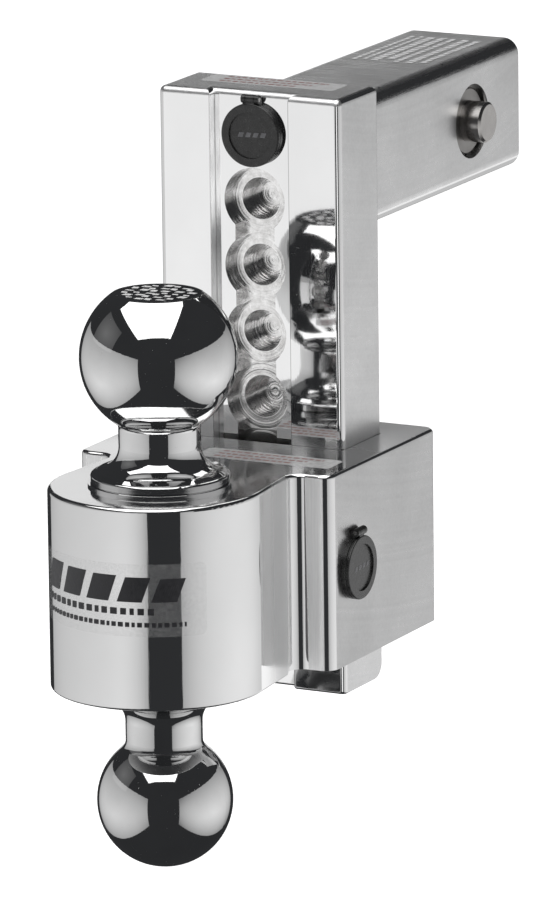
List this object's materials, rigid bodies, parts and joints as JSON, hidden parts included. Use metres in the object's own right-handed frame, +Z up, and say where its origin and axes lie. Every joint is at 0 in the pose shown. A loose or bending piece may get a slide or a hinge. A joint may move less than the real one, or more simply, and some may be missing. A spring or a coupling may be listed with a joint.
{
  "type": "adjustable drop hitch with dual ball mount",
  "caption": "Machined drawbar with a square receiver shank, a holed drop column and a sliding platform that carries a large ball above and a smaller one below, held by key-locked pins.",
  "frame": {"origin": "where the shank's centre line meets the axis of the receiver bolts", "axes": "+Y along the shank towards the towing vehicle, +Z up, +X to the right when looking forward from behind the balls"},
  "size_m": [0.1101, 0.2998, 0.2796],
  "materials": {
    "machined_aluminium": "milled and lightly polished faces with a fine tool grain, bright edges",
    "ball_chrome": "mirror polished, turned",
    "zinc_steel": "bright zinc plate over turned steel",
    "spring_steel": "drawn wire and stamped strip",
    "lock_brass": "turned, satin",
    "cap_plastic": "black moulded plastic, fine texture and a smooth hinge tab"
  },
  "bodies": {
    "drawbar_body": {"drawbar": "machined_aluminium", "bolt_bushing_left": "zinc_steel", "bolt_bushing_right": "zinc_steel", "front_lock_housing": "lock_brass", "front_cap_ring": "cap_plastic", "front_hinge_pin": "zinc_steel"},
    "platform": {"ball_platform": "machined_aluminium", "upper_ball": "ball_chrome", "lower_ball": "ball_chrome", "upper_washer": "zinc_steel", "lower_washer": "zinc_steel", "stud_lock_pin": "zinc_steel", "side_lock_housing": "lock_brass", "side_cap_ring": "cap_plastic", "side_hinge_pin": "zinc_steel", "plunger_spring": "spring_steel"},
    "front_lid": {"front_cap_lid": "cap_plastic"},
    "side_lid": {"side_cap_lid": "cap_plastic"},
    "front_key": {"front_key_cylinder": "lock_brass", "front_snap_ring": "spring_steel"},
    "side_key": {"side_key_cylinder": "lock_brass", "side_cam": "zinc_steel", "side_snap_ring": "spring_steel"},
    "plunger": {"lock_plunger": "zinc_steel"},
    "pull_slide": {"pull_rod": "zinc_steel", "cam_slide": "zinc_steel", "slide_screw": "zinc_steel"},
    "bolt_right": {"receiver_bolt_right": "zinc_steel", "follower_pin_right": "zinc_steel"},
    "bolt_left": {"receiver_bolt_left": "zinc_steel", "follower_pin_left": "zinc_steel"}
  },
  "joints": [
    {"name": "platform_slide", "type": "slide", "parent": "drawbar_body", "child": "platform", "axis": [0, 0, 1], "range_m": [-0.0254, 0.127]},
    {"name": "side_key_turn", "type": "hinge", "parent": "platform", "child": "side_key", "pos_m": [0.05, -0.1604, -0.1382], "axis": [-1, 0, 0], "range_deg": [0, 180]},
    {"name": "plunger_travel", "type": "slide", "parent": "platform", "child": "plunger", "axis": [0, 1, 0], "range_m": [0, 0.0092], "deforming": ["plunger_spring"]},
    {"name": "side_lid_hinge", "type": "hinge", "parent": "platform", "child": "side_lid", "pos_m": [0.0552, -0.1604, -0.1245], "axis": [0, -1, 0], "range_deg": [0, 115]},
    {"name": "front_lid_hinge", "type": "hinge", "parent": "drawbar_body", "child": "front_lid", "pos_m": [0, -0.13705, 0.031], "axis": [-1, 0, 0], "range_deg": [0, 115]},
    {"name": "front_key_turn", "type": "hinge", "parent": "drawbar_body", "child": "front_key", "pos_m": [0, -0.13, 0.0173], "axis": [0, -1, 0], "range_deg": [0, 180]},
    {"name": "pull_slide_travel", "type": "slide", "parent": "drawbar_body", "child": "pull_slide", "axis": [0, -1, 0], "range_m": [0, 0.0095]},
    {"name": "bolt_right_travel", "type": "slide", "parent": "drawbar_body", "child": "bolt_right", "axis": [-1, 0, 0], "range_m": [0, 0.0074]},
    {"name": "bolt_left_travel", "type": "slide", "parent": "drawbar_body", "child": "bolt_left", "axis": [1, 0, 0], "range_m": [0, 0.0074]}
  ],
  "couplings": [
    {"joint": "side_key_turn", "follows": "plunger_travel", "rad_per_m": 341.48},
    {"joint": "front_key_turn", "follows": "pull_slide_travel", "rad_per_m": 330.69},
    {"joint": "bolt_right_travel", "follows": "pull_slide_travel", "ratio": 0.77895},
    {"joint": "bolt_left_travel", "follows": "pull_slide_travel", "ratio": 0.77895}
  ]
}
